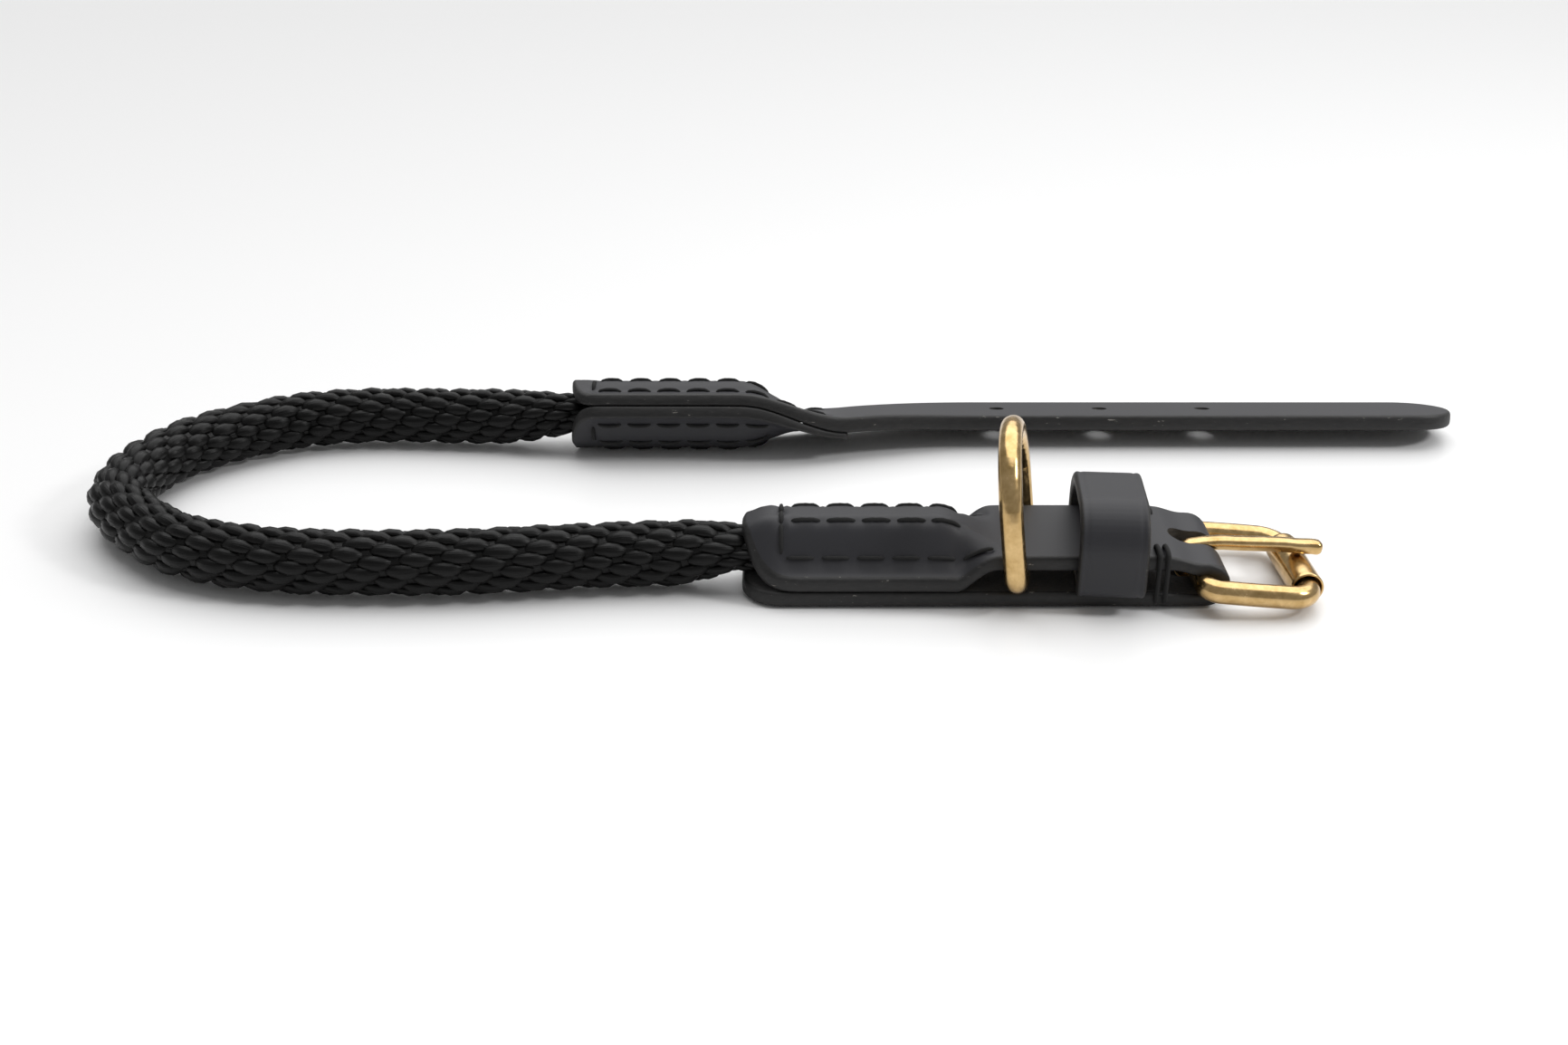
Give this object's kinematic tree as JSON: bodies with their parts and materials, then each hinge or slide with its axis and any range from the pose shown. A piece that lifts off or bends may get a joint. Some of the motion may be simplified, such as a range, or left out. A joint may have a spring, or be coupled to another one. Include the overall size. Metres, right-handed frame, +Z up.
{
  "type": "dog collar",
  "caption": "Black braided rope dog collar with leather ends, a standing brass D-ring, a keeper and a roller buckle, laid open in a long U.",
  "frame": {"origin": "on the underside of the buckle strap, at mid-width, straight below the bar of the D-ring", "axes": "+X along the collar's longest extent towards the buckle, +Y across towards the billet strap, +Z up from the surface it lies on"},
  "size_m": [0.2806, 0.0989, 0.0314],
  "materials": {
    "braided_rope": "glossy multifilament yarn, solid braid",
    "bridle_leather": "waxed, satin, dyed edges",
    "brass_wire": "polished cast and drawn wire",
    "brass_tube": "polished rolled tube",
    "waxed_thread": "waxed twisted thread"
  },
  "bodies": {
    "buckle_end": {"rope_buckle_half": "braided_rope", "buckle_strap": "bridle_leather", "keeper_loop": "bridle_leather", "front_near_stitches": "waxed_thread", "front_middle_stitches": "waxed_thread", "front_crest_stitches": "waxed_thread", "front_far_stitches": "waxed_thread", "front_cross_stitches": "waxed_thread", "fold_stitches": "waxed_thread"},
    "dee": {"dee_ring": "brass_wire"},
    "frame": {"buckle_frame": "brass_wire"},
    "tongue": {"buckle_tongue": "brass_wire"},
    "roller": {"buckle_roller": "brass_tube"},
    "billet_end": {"rope_billet_half": "braided_rope", "billet_root": "bridle_leather", "billet_backing": "bridle_leather", "rear_upper_stitches": "waxed_thread", "rear_lower_stitches": "waxed_thread", "rear_hook_stitches": "waxed_thread", "rear_end_stitches": "waxed_thread"},
    "billet": {"billet_strap": "bridle_leather"}
  },
  "joints": [
    {"name": "dee_swing", "type": "hinge", "parent": "buckle_end", "child": "dee", "pos_m": [0, 0, 0.00525], "axis": [0.1736, 0.9848, 0], "range_deg": [-36, 15]},
    {"name": "frame_pivot", "type": "hinge", "parent": "buckle_end", "child": "frame", "pos_m": [0.0312, 0, 0.00445], "axis": [0, -1, 0], "range_deg": [-15, 15]},
    {"name": "tongue_pivot", "type": "hinge", "parent": "frame", "child": "tongue", "pos_m": [0.0312, 0, 0.00445], "axis": [0, -1, 0], "range_deg": [0, 70]},
    {"name": "roller_spin", "type": "hinge", "parent": "frame", "child": "roller", "pos_m": [0.04954, 0, 0.00295], "axis": [0, 1, 0], "continuous": true},
    {"name": "rope_flex", "type": "hinge", "parent": "buckle_end", "child": "billet_end", "pos_m": [-0.171, 0.028, 0.0061], "axis": [0, 0, 1], "range_deg": [-12, 20], "stiffness_Nm_per_rad": 0.05},
    {"name": "strap_flex", "type": "hinge", "parent": "billet_end", "child": "billet", "pos_m": [-0.025, 0.06899, 0.00517], "axis": [0, -0.9703, 0.2419], "range_deg": [0, 45], "stiffness_Nm_per_rad": 0.02}
  ]
}
